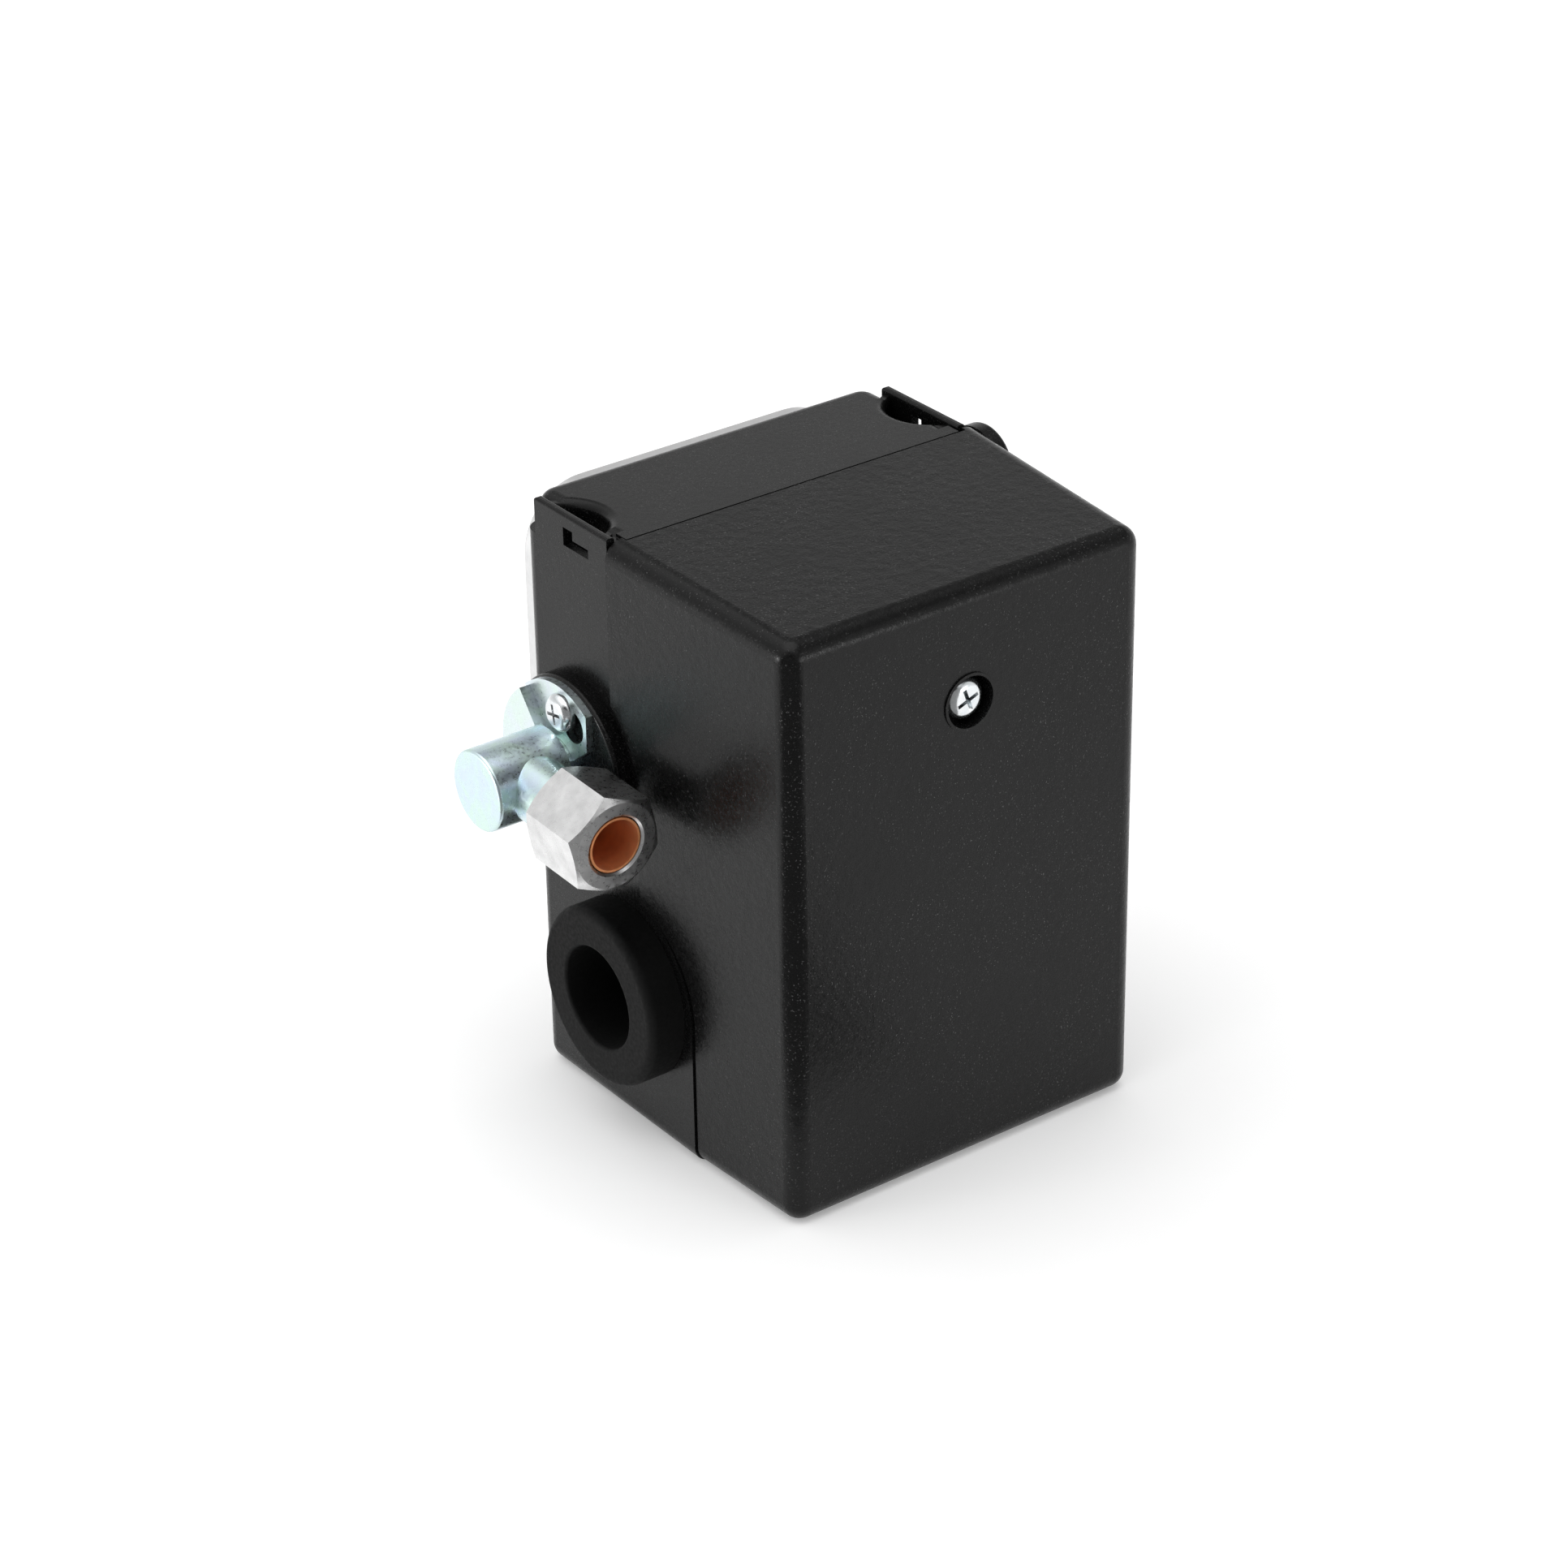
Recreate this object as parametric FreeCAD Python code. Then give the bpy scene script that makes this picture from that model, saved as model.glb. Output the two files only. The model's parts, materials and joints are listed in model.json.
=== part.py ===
import FreeCAD, Part
import math
import os

from FreeCAD import Rotation, Vector

# Compressor pressure switch, millimetres.  +Z up, cover face towards -Y, pressure port towards +Y,
# unloader valve on the -X side.  The origin is on the face that the box stands on.

# --- driving dimensions: box ---
BOX_HEIGHT = 97.0          # top of the cover at the seam
FRONT_Y = -32.0            # cover face
REAR_Y = 31.5              # back of the base
COVER_HALF_FRONT = 32.2    # half width of the cover at its face
COVER_HALF_REAR = 34.2     # half width of the cover at the seam
COVER_TOP_FRONT = 95.3     # top of the cover at its face
BASE_LEFT = -33.6
BASE_RIGHT = 32.0
BASE_TOP = 96.9            # roof of the base, level with the cover
RIM_TOP = 97.3             # side rims beside the roof
BASE_ROUND = 2.8           # bottom edges and rear corners of the base
WALL = 2.2
SEAM_GAP = 0.4             # open joint between cover and base
FIT_GAP = 0.3              # all round between cover and base lip
LIP = 1.4                  # lip thickness
LIP_REACH = 4.0            # how far the lip enters the cover

# --- seam line on the sides, front to rear position at three heights ---
SEAM_TOP_Y = 9.0
SEAM_MID_Y = 3.4
ROOF_SEAM_Y = 8.0

# --- thumb wells in the roof beside the rims ---
WELL_Y = 19.3
WELL_RADIUS = 7.0
WELL_OFFSET = 2.8          # centre of a well beyond the inner face of its rim
WELL_ROUND = 1.6           # rounded edge round a well
WELL_FLOOR = 88.0
WELL_WALL = 1.4

# --- unloader valve on the left wall ---
VALVE_Y, VALVE_Z = 18.2, 58.7
PAD_RADIUS = 13.3
PAD_FACE_X = -36.3
VALVE_SEAM_RADIUS = 15.2
BRACKET_RADIUS = 12.9
BRACKET_SHEET = 1.2
BRACKET_STEP = 1.8
BRACKET_SCREW_Y, BRACKET_SCREW_Z = 16.4, 68.0
VALVE_RADIUS = 6.35
VALVE_END_X = -52.1
TUBE_AXIS_X = -44.5
TUBE_TILT = 1.8            # degrees the tube fitting points down
NUT_FLATS = 14.29          # 9/16 inch across flats
NUT_LENGTH = 12.4
NUT_LAND = 3.6             # end of the nut in front of its thread
NUT_FACE = 24.9            # from the valve axis to the nut's face
NUT_CLOCK = 10.0           # degrees from straight up to the first corner
NUT_BORE = 4.55
SLEEVE_OUTER, SLEEVE_INNER = 4.35, 4.0
STEM_RADIUS = 1.5
STEM_TRAVEL = 1.53

# --- cable bushings ---
BUSHING_Y, BUSHING_Z = 7.55, 23.8
BUSHING_RADIUS = 14.3
BUSHING_FACE = 6.0         # how far the disc stands off the wall
BUSHING_NECK = 11.0
BUSHING_HOLE = 8.2
BUSHING_SEAM_RADIUS = 16.5

# --- pressure flange ---
FLANGE_SIZE = 59.0
FLANGE_CORNER = 10.5
FLANGE_Z = 64.0
FLANGE_FRONT_Y, FLANGE_REAR_Y = 33.0, 38.0
PORT_END_Y = 50.0
PORT_RADIUS = 5.7          # tapping bore of a 1/4 inch pipe thread
FLANGE_BOLT = 22.0         # half the spacing of the four screws
PISTON_RADIUS = 15.0

# --- switch mechanism ---
PIVOT_Y, PIVOT_Z = 22.0, 87.0
PIVOT_RADIUS = 1.5
LEVER_FRONT, LEVER_REAR = 21.0, 23.0
CHEEK_INNER, CHEEK_OUTER = 16.4, 18.0
BRIDGE_REAR, BRIDGE_FRONT = -11.0, -14.0
SPRING_FRONT, SPRING_REAR = -4.8, 19.3
RANGE_SCREW_RADIUS = 3.0
COVER_SCREW_Z = 77.3
TERMINAL_X = (-19.5, -6.5, 6.5, 19.5)
BLOCK_FRONT, BLOCK_REAR = 14.0, 27.3
CONTACT_Z = 46.5
TERMINAL_SCREW_Z = 38.8
GUIDE_X, GUIDE_Z = 22.0, 52.3

# --- auto/off lever on the right wall ---
KNOB_Y, KNOB_Z = 10.0, 89.2
KNOB_RADIUS = 6.5
KNOB_SHAFT = 2.5
CAM_INNER, CAM_OUTER = 19.7, 24.3

RUNNING = 0.06             # radial clearance of shafts and pins
FAR = 60.0                 # reach of cutting solids


# ---------------------------------------------------------------- helpers
def box(x0, x1, y0, y1, z0, z1):
    return Part.makeBox(x1 - x0, y1 - y0, z1 - z0, Vector(x0, y0, z0))


def rod_x(y, z, x0, x1, radius):
    return Part.makeCylinder(radius, x1 - x0, Vector(x0, y, z), Vector(1, 0, 0))


def rod_y(x, z, y0, y1, radius):
    return Part.makeCylinder(radius, y1 - y0, Vector(x, y0, z), Vector(0, 1, 0))


def rod_z(x, y, z0, z1, radius):
    return Part.makeCylinder(radius, z1 - z0, Vector(x, y, z0), Vector(0, 0, 1))


def join(shapes):
    shapes = list(shapes)
    return shapes[0].fuse(shapes[1:]).removeSplitter()


def prism_x(points, x0, x1):
    """Prism along X from (y, z) points."""
    loop = [Vector(x0, y, z) for y, z in points]
    face = Part.Face(Part.makePolygon(loop + [loop[0]]))
    return face.extrude(Vector(x1 - x0, 0, 0))


def prism_z(points, z0, z1):
    """Prism along Z from (x, y) points."""
    loop = [Vector(x, y, z0) for x, y in points]
    face = Part.Face(Part.makePolygon(loop + [loop[0]]))
    return face.extrude(Vector(0, 0, z1 - z0))


def fillet_where(shape, radius, wanted):
    edges = [edge for edge in shape.Edges if wanted(edge)]
    return shape.makeFillet(radius, edges)


def edge_ends(edge):
    return edge.Vertexes[0].Point, edge.Vertexes[-1].Point


def aim(shape, origin, direction, spin=0.0):
    """Place a shape built along +Z with its +Z along direction."""
    turned = shape.copy()
    rotation = Rotation(Vector(0, 0, 1), direction).multiply(Rotation(Vector(0, 0, 1), spin))
    turned.Placement = FreeCAD.Placement(origin, rotation).multiply(shape.Placement)
    return turned


def hexagon(flats, height, clock=0.0):
    """Hexagonal bar from z = 0, its corners clocked from +X."""
    radius = flats / 2 / math.cos(math.pi / 6)
    angles = [math.radians(clock + 60 * i) for i in range(6)]
    points = [(radius * math.cos(a), radius * math.sin(a)) for a in angles]
    return prism_z(points, 0, height)


def chamfered_hexagon(flats, height, clock=0.0, both=True):
    """Hexagonal bar whose end corners are turned down at 30 degrees, as on a nut."""
    corner = flats / 2 / math.cos(math.pi / 6)
    land = flats / 2 * 0.95
    drop = (corner - land) * math.tan(math.radians(30))
    low = [(land, 0), (corner, drop)] if both else [(corner, 0)]
    profile = [(0, 0)] + low + [(corner, height - drop), (land, height), (0, height)]
    loop = [Vector(r, 0, z) for r, z in profile]
    turned = Part.Face(Part.makePolygon(loop + [loop[0]])).revolve(Vector(), Vector(0, 0, 1), 360)
    return hexagon(flats, height, clock).common(turned)


def cross_recess(size, depth):
    """Cruciform driver recess that opens at z = 0 and narrows downwards."""
    arms = []
    for along_x in (True, False):
        wires = []
        for z, reach, half in ((0.05, size, 0.16 * size), (-depth, 0.45 * size, 0.1 * size)):
            a, b = (reach, half) if along_x else (half, reach)
            corners = [Vector(a, b, z), Vector(-a, b, z), Vector(-a, -b, z), Vector(a, -b, z)]
            wires.append(Part.makePolygon(corners + [corners[0]]))
        arms.append(Part.makeLoft(wires, True, True))
    return join(arms)


def pan_screw(head_radius, head_height, shank_radius, shank_length):
    """Pan head screw: seat at z = 0, head above, shank below."""
    head = Part.makeCylinder(head_radius, head_height)
    head = fillet_where(head, 0.72 * head_height, lambda e: e.CenterOfMass.z > 0.9 * head_height)
    recess = cross_recess(0.55 * head_radius, 0.6 * head_height).translated(Vector(0, 0, head_height))
    shank = Part.makeCylinder(shank_radius, shank_length, Vector(0, 0, -shank_length))
    shank = shank.makeChamfer(0.25 * shank_radius, [shank.Edges[2]])
    return join([head.cut(recess), shank])


def helical_spring(mean_radius, wire_radius, length, turns):
    """Coil along +Z from z = 0, kept within its length."""
    rise = length - 2 * wire_radius
    path = Part.makeHelix(rise / turns, rise, mean_radius)
    section = Part.Wire(Part.makeCircle(wire_radius, Vector(mean_radius, 0, 0), Vector(0, 1, 0)))
    coil = Part.Wire(path).makePipeShell([section], True, True)
    return coil.translated(Vector(0, 0, wire_radius))


def drafted_block(inset, front_y, rear_y=SEAM_TOP_Y):
    """The cover's drafted outline shrunk by inset, from front_y to rear_y; its floor stays level."""
    depth = SEAM_TOP_Y - FRONT_Y
    wires = []
    for y in (front_y, rear_y):
        part = (y - FRONT_Y) / depth
        half = COVER_HALF_FRONT + (COVER_HALF_REAR - COVER_HALF_FRONT) * part - inset
        top = COVER_TOP_FRONT + (BOX_HEIGHT - COVER_TOP_FRONT) * part - inset
        outline = ((-half, inset), (half, inset), (half, top), (-half, top))
        corners = [Vector(x, y, z) for x, z in outline]
        wires.append(Part.makePolygon(corners + [corners[0]]))
    return Part.makeLoft(wires, True, True)


def round_front(block, radius, rear_y):
    """Round every edge of a drafted block except those of its rear face."""
    def not_rear(edge):
        a, b = edge_ends(edge)
        return abs(a.y - rear_y) > 0.1 or abs(b.y - rear_y) > 0.1
    return fillet_where(block, radius, not_rear)


def on_circle(cy, cz, radius, degrees, x):
    angle = math.radians(degrees)
    return Vector(x, cy + radius * math.cos(angle), cz + radius * math.sin(angle))


def behind_seam(shift):
    """Everything to the rear of the side seam moved by shift: it steps around valve pad and bushing."""
    x = -FAR
    up = math.degrees(math.acos((SEAM_TOP_Y - VALVE_Y) / VALVE_SEAM_RADIUS))
    mid = math.degrees(math.acos((SEAM_MID_Y - VALVE_Y) / VALVE_SEAM_RADIUS))
    low = math.degrees(math.acos((SEAM_MID_Y - BUSHING_Y) / BUSHING_SEAM_RADIUS))
    upper = [on_circle(VALVE_Y, VALVE_Z, VALVE_SEAM_RADIUS, a, x) for a in (up, (up + mid) / 2, mid)]
    lower = [on_circle(BUSHING_Y, BUSHING_Z, BUSHING_SEAM_RADIUS, a, x)
             for a in (low, (low + 180) / 2, 180)]
    top = Vector(x, SEAM_TOP_Y, FAR + BOX_HEIGHT)
    bottom = Vector(x, lower[2].y, -FAR)
    far_bottom, far_top = Vector(x, 2 * FAR, -FAR), Vector(x, 2 * FAR, FAR + BOX_HEIGHT)
    edges = [Part.LineSegment(top, upper[0]).toShape(), Part.Arc(*upper).toShape(),
             Part.LineSegment(upper[2], lower[0]).toShape(), Part.Arc(*lower).toShape(),
             Part.LineSegment(lower[2], bottom).toShape(), Part.LineSegment(bottom, far_bottom).toShape(),
             Part.LineSegment(far_bottom, far_top).toShape(), Part.LineSegment(far_top, top).toShape()]
    region = Part.Face(Part.Wire(edges)).extrude(Vector(2 * FAR, 0, 0))
    return region.translated(Vector(0, shift, 0))


# ---------------------------------------------------------------- cover
def make_cover():
    outer = round_front(drafted_block(0, FRONT_Y), 3.0, SEAM_TOP_Y)
    inner = round_front(drafted_block(WALL, FRONT_Y + 2.4, SEAM_TOP_Y + 1), 1.2, SEAM_TOP_Y + 1)
    shell = outer.cut(inner)
    # screw well in the face
    well = rod_y(0, COVER_SCREW_Z, FRONT_Y + 1, FRONT_Y + 5.2, 5.6)
    shell = shell.fuse(well)
    shell = shell.cut(rod_y(0, COVER_SCREW_Z, FRONT_Y - 1, FRONT_Y + 3.0, 4.1))
    shell = shell.cut(rod_y(0, COVER_SCREW_Z, FRONT_Y - 1, FRONT_Y + 6.0, 2.3))
    collar = rod_y(0, COVER_SCREW_Z, FRONT_Y - 0.25, FRONT_Y + 0.5, 4.55)
    shell = shell.fuse(collar.cut(rod_y(0, COVER_SCREW_Z, FRONT_Y - 1, FRONT_Y + 1, 4.1)))
    # rear edge: seam on the sides, a shallow step across the roof, a notch over the lever shaft
    shell = shell.cut(behind_seam(0))
    shell = shell.cut(box(-31.1, 31.1, ROOF_SEAM_Y, SEAM_TOP_Y + 1, BOX_HEIGHT - WALL - 1, BOX_HEIGHT + 1))
    shell = shell.cut(rod_x(KNOB_Y, KNOB_Z, 28, 40, 3.0))
    # stiffening ribs inside the face
    for x in (-15.0, 15.0):
        shell = shell.fuse(box(x - 0.7, x + 0.7, FRONT_Y + 2, FRONT_Y + 4.5, 8, 88))
    return shell.removeSplitter()


def make_cover_screw():
    screw = pan_screw(3.5, 2.6, 2.0, 17.6)
    return aim(screw, Vector(0, FRONT_Y + 2.95, COVER_SCREW_Z), Vector(0, -1, 0), 20)


# ---------------------------------------------------------------- base
def beside_rim(shape, inner_x, side):
    """The part of a shape on the inner side of the rim on the given side."""
    x0, x1 = (inner_x, FAR) if side < 0 else (-FAR, inner_x)
    return shape.common(box(x0, x1, -FAR, FAR, 0, 2 * FAR))


def well_cutter(centre_x):
    """Round well that opens with a rounded edge at the roof."""
    foot, lip = Vector(WELL_RADIUS, 0, WELL_FLOOR), Vector(WELL_RADIUS, 0, BASE_TOP - WELL_ROUND)
    brim = Vector(WELL_RADIUS + WELL_ROUND, 0, BASE_TOP)
    inset = WELL_ROUND * (1 - math.cos(math.pi / 4))
    middle = Vector(WELL_RADIUS + inset, 0, BASE_TOP - inset)
    above = Vector(brim.x, 0, BASE_TOP + 3)
    corners = [above, Vector(0, 0, above.z), Vector(0, 0, WELL_FLOOR), foot, lip]
    edges = [Part.LineSegment(a, b).toShape() for a, b in zip(corners, corners[1:])]
    edges += [Part.Arc(lip, middle, brim).toShape(), Part.LineSegment(brim, above).toShape()]
    turned = Part.Face(Part.Wire(edges)).revolve(Vector(), Vector(0, 0, 1), 360)
    return turned.translated(Vector(centre_x, WELL_Y, 0))


def make_base():
    low_y = BUSHING_Y - BUSHING_SEAM_RADIUS
    rim = 1.4
    left_rim, right_rim = BASE_LEFT + rim, BASE_RIGHT - rim
    body = box(BASE_LEFT, BASE_RIGHT, low_y, REAR_Y, 0, 91.5)
    body = fillet_where(body, BASE_ROUND + 0.2, lambda e: min(p.y for p in edge_ends(e)) > REAR_Y - 0.1
                        and abs(edge_ends(e)[0].z - edge_ends(e)[1].z) > 1)
    body = fillet_where(body, BASE_ROUND, lambda e: e.CenterOfMass.z < 0.1 and e.CenterOfMass.y > low_y + 1)
    roof = box(left_rim + 0.5, right_rim - 0.5, low_y, REAR_Y, 86, BASE_TOP)
    roof = fillet_where(roof, 3.0, lambda e: min(p.y for p in edge_ends(e)) > REAR_Y - 0.1
                        and abs(edge_ends(e)[0].z - edge_ends(e)[1].z) > 1)
    roof = fillet_where(roof, 2.4, lambda e: e.CenterOfMass.z > BASE_TOP - 0.1
                        and e.BoundBox.YMax > REAR_Y - 6 and e.BoundBox.YMin > REAR_Y - 6)
    filler = box(BASE_LEFT + 0.8, BASE_RIGHT - 0.8, low_y, 28.0, 86, BASE_TOP - 1.4)
    rims = [box(x0, x0 + rim, low_y, 28.0, 86, RIM_TOP) for x0 in (BASE_LEFT, right_rim)]
    rims = [fillet_where(r, 0.5, lambda e: e.CenterOfMass.z > RIM_TOP - 0.1) for r in rims]
    outer = join([body, roof, filler] + rims)
    outer = outer.common(behind_seam(SEAM_GAP))
    roof_front = box(-30.8, right_rim - 0.5, ROOF_SEAM_Y + SEAM_GAP, SEAM_TOP_Y + 2,
                     BASE_TOP - 2.6, BASE_TOP)

    cavity = box(BASE_LEFT + WALL, BASE_RIGHT - WALL, -FAR, REAR_Y - 2.5, WALL, 90)
    cavity = cavity.fuse(box(-30.0, 28.4, -FAR, REAR_Y - 2.5, 80, BASE_TOP - WALL))
    shell = outer.cut(cavity).fuse(roof_front)

    # lip that centres the cover, on a ledge along the seam
    lip_outer = drafted_block(WALL + FIT_GAP, -20.0, SEAM_TOP_Y + 4)
    lip_outer = fillet_where(lip_outer, 1.5, lambda e: abs(edge_ends(e)[0].y - edge_ends(e)[1].y) > 5)
    lip_inner = drafted_block(WALL + FIT_GAP + LIP, -21.0, SEAM_TOP_Y + 5)
    lip = lip_outer.cut(lip_inner).common(behind_seam(-LIP_REACH)).cut(behind_seam(2.3))
    ledge = box(BASE_LEFT + 0.6, BASE_RIGHT - 0.6, -12, 12, 0.6, BASE_TOP - 0.6)
    ledge = fillet_where(ledge, BASE_ROUND, lambda e: e.CenterOfMass.z < 0.7 and e.Length < 30)
    ledge = ledge.cut(lip_inner)
    ledge = ledge.common(behind_seam(SEAM_GAP)).cut(behind_seam(2.3))
    shell = shell.fuse([lip, ledge])

    # wells beside the rims and the walls that close them
    for side, inner_x in ((-1, left_rim), (1, right_rim)):
        centre_x = inner_x + side * WELL_OFFSET
        pad = rod_z(centre_x, WELL_Y, WELL_FLOOR - WELL_WALL, BASE_TOP - 0.5, WELL_RADIUS + WELL_WALL)
        pad = beside_rim(pad, inner_x + side * 0.4, side)
        shell = shell.fuse(pad.cut(box(-FAR, FAR, -FAR, SEAM_TOP_Y + SEAM_GAP, 0, 2 * FAR)))
        shell = shell.cut(beside_rim(well_cutter(centre_x), inner_x, side))

    # latch windows through the rims
    for x0, x1 in ((BASE_LEFT - 1, left_rim + 0.2), (right_rim - 0.2, BASE_RIGHT + 1)):
        shell = shell.cut(box(x0, x1, 14.2, 20.6, 92.3, 93.8))
        shell = shell.cut(box(x0, x1, 18.2, 20.6, 92.3, 95.2))

    # valve pad with its stem and screw holes
    pad = rod_x(VALVE_Y, VALVE_Z, PAD_FACE_X, BASE_LEFT + 1, PAD_RADIUS)
    pad = fillet_where(pad, 0.6, lambda e: e.BoundBox.XMax < PAD_FACE_X + 0.1)
    shell = shell.fuse(pad)
    shell = shell.cut(rod_x(VALVE_Y, VALVE_Z, -FAR, -30, STEM_RADIUS + 0.6))
    shell = shell.cut(rod_x(BRACKET_SCREW_Y, BRACKET_SCREW_Z, -FAR, -30, 1.5 + RUNNING))

    # cable entries, piston guide, flange screws, lever shaft
    shell = shell.cut(rod_x(BUSHING_Y, BUSHING_Z, -FAR, FAR, BUSHING_NECK))
    shell = shell.cut(rod_y(0, FLANGE_Z, REAR_Y - 5, REAR_Y + 5, PISTON_RADIUS + RUNNING + 0.02))
    for x, z in flange_bolts():
        shell = shell.cut(rod_y(x, z, REAR_Y - 5, REAR_Y + 5, 2.15))
    shell = shell.cut(rod_x(KNOB_Y, KNOB_Z, 27, 34, KNOB_SHAFT + RUNNING))
    return shell.removeSplitter()


# ---------------------------------------------------------------- pressure side
def flange_bolts():
    return [(sx * FLANGE_BOLT, FLANGE_Z + sz * FLANGE_BOLT) for sx in (-1, 1) for sz in (-1, 1)]


def rounded_plate(size, corner, y0, y1):
    half = size / 2
    plate = box(-half, half, y0, y1, FLANGE_Z - half, FLANGE_Z + half)
    depth = y1 - y0
    return fillet_where(plate, corner, lambda e: abs(edge_ends(e)[0].y - edge_ends(e)[1].y) > depth / 2)


def make_flange():
    plate = rounded_plate(FLANGE_SIZE, FLANGE_CORNER, FLANGE_FRONT_Y, FLANGE_REAR_Y)
    plate = fillet_where(plate, 0.6, lambda e: min(p.y for p in edge_ends(e)) > FLANGE_REAR_Y - 0.1)
    neck = aim(chamfered_hexagon(19.0, PORT_END_Y - FLANGE_REAR_Y + 1, 0, False),
               Vector(0, FLANGE_REAR_Y - 1, FLANGE_Z), Vector(0, 1, 0))
    shoulder = Part.makeCone(13.5, 10.5, 2.5, Vector(0, FLANGE_REAR_Y - 0.2, FLANGE_Z), Vector(0, 1, 0))
    solid = join([plate, neck, shoulder])
    solid = solid.cut(rod_y(0, FLANGE_Z, FLANGE_FRONT_Y - 1, FLANGE_FRONT_Y + 2, 17.0))
    solid = solid.cut(rod_y(0, FLANGE_Z, FLANGE_FRONT_Y, PORT_END_Y + 1, PORT_RADIUS))
    for x, z in flange_bolts():
        solid = solid.cut(rod_y(x, z, FLANGE_FRONT_Y - 1, FLANGE_REAR_Y + 1, 2.15))
    return solid


def make_diaphragm():
    sheet = rounded_plate(FLANGE_SIZE - 1.4, FLANGE_CORNER, REAR_Y, FLANGE_FRONT_Y)
    for x, z in flange_bolts():
        sheet = sheet.cut(rod_y(x, z, REAR_Y - 1, FLANGE_FRONT_Y + 1, 2.15))
    return sheet


def make_piston():
    disc = rod_y(0, FLANGE_Z, 27.0, REAR_Y - 0.05, PISTON_RADIUS)
    nose = Part.makeSphere(4.0, Vector(0, LEVER_REAR + 4.15, FLANGE_Z))
    return join([disc, nose.common(box(-9, 9, 0, 29, 50, 80))])


def make_flange_screws():
    screw = pan_screw(3.8, 2.6, 2.0, 10.5)
    places = [Vector(x, FLANGE_REAR_Y, z) for x, z in flange_bolts()]
    return Part.makeCompound([aim(screw, p, Vector(0, 1, 0), 15 * i) for i, p in enumerate(places)])


# ---------------------------------------------------------------- chassis and mechanism
def make_chassis():
    back = box(-26, 26, BLOCK_REAR + 0.1, REAR_Y - 2.5, 36, 92)
    back = back.fuse(box(-10, 10, BLOCK_REAR + 0.1, REAR_Y - 2.5, 11, 36))
    back = fillet_where(back, 3.0, lambda e: abs(edge_ends(e)[0].y - edge_ends(e)[1].y) > 1)
    outline = [(BLOCK_REAR + 1, 62.8), (BLOCK_REAR + 1, 91), (16, 91), (-6, 85), (BRIDGE_FRONT, 85),
               (BRIDGE_FRONT, 62.8)]
    cheeks = [prism_x(outline, x, x + CHEEK_OUTER - CHEEK_INNER) for x in (-CHEEK_OUTER, CHEEK_INNER)]
    solid = join([back] + cheeks)
    solid = solid.cut(rod_y(0, FLANGE_Z, 20, 35, PISTON_RADIUS + 0.5))
    solid = solid.cut(rod_x(PIVOT_Y, PIVOT_Z, -FAR, FAR, PIVOT_RADIUS + RUNNING))
    solid = solid.cut(box(-FAR, FAR, -4, 12, 69, 78).common(rod_x(4, 73.5, -FAR, FAR, 8)))
    for x, z in flange_bolts():
        solid = solid.cut(rod_y(x, z, 20, 35, 2.0 + RUNNING))
    for z in (17.0, 28.0):
        solid = solid.cut(rod_y(0, z, 20, 35, 1.75 + RUNNING))
    return solid


def make_bridge():
    bar = box(-CHEEK_INNER, CHEEK_INNER, BRIDGE_FRONT, BRIDGE_REAR, 58, 84.5)
    bar = fillet_where(bar, 1.0, lambda e: e.CenterOfMass.z < 58.1 and e.Length > 20)
    bar = bar.cut(rod_y(0, FLANGE_Z, -FAR, FAR, RANGE_SCREW_RADIUS + RUNNING))
    return bar.cut(rod_y(0, COVER_SCREW_Z, -FAR, FAR, 2.0 + RUNNING))


def make_pivot_pin():
    return rod_x(PIVOT_Y, PIVOT_Z, -19.6, 19.6, PIVOT_RADIUS)


def make_pivot_clips():
    ring = rod_x(PIVOT_Y, PIVOT_Z, 0, 0.6, 3.0).cut(rod_x(PIVOT_Y, PIVOT_Z, -1, 2, PIVOT_RADIUS))
    ring = ring.cut(box(-1, 2, PIVOT_Y - 5, PIVOT_Y, PIVOT_Z - 0.8, PIVOT_Z + 0.8))
    places = (-CHEEK_OUTER - 0.9, CHEEK_OUTER + 0.3)
    return Part.makeCompound([ring.translated(Vector(x, 0, 0)) for x in places])


def make_lever():
    knuckle = rod_x(PIVOT_Y, PIVOT_Z, -15.5, 15.5, 3.0)
    plate = box(-13, 13, LEVER_FRONT, LEVER_REAR, 52, 86)
    ear = box(-29, -12, LEVER_FRONT, LEVER_REAR, 56, 61.4)
    foot = box(-5, 5, 5.7, LEVER_REAR, 52, 54)
    foot = fillet_where(foot, 1.5, lambda e: abs(edge_ends(e)[0].z - edge_ends(e)[1].z) > 1
                        and e.CenterOfMass.y < 6)
    gussets = [box(x, x + 1.5, 12, LEVER_REAR - 0.5, 52.5, 55) for x in (-5, 3.5)]
    solid = join([knuckle, plate, ear, foot] + gussets)
    return solid.cut(rod_x(PIVOT_Y, PIVOT_Z, -FAR, FAR, PIVOT_RADIUS + RUNNING))


def make_lower_seat():
    cup = rod_y(0, FLANGE_Z, SPRING_REAR + 0.1, LEVER_FRONT, 7.9)
    return cup.fuse(rod_y(0, FLANGE_Z, SPRING_REAR - 2.5, LEVER_FRONT, 4.6)).removeSplitter()


def make_upper_seat():
    disc = rod_y(0, FLANGE_Z, SPRING_FRONT - 2.1, SPRING_FRONT - 0.1, 7.9)
    return disc.fuse(rod_y(0, FLANGE_Z, SPRING_FRONT - 2.1, SPRING_FRONT + 2.4, 4.6)).removeSplitter()


def make_range_spring():
    coil = helical_spring(6.4, 1.1, SPRING_REAR - SPRING_FRONT, 5.5)
    return aim(coil, Vector(0, SPRING_FRONT, FLANGE_Z), Vector(0, 1, 0))


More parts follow.
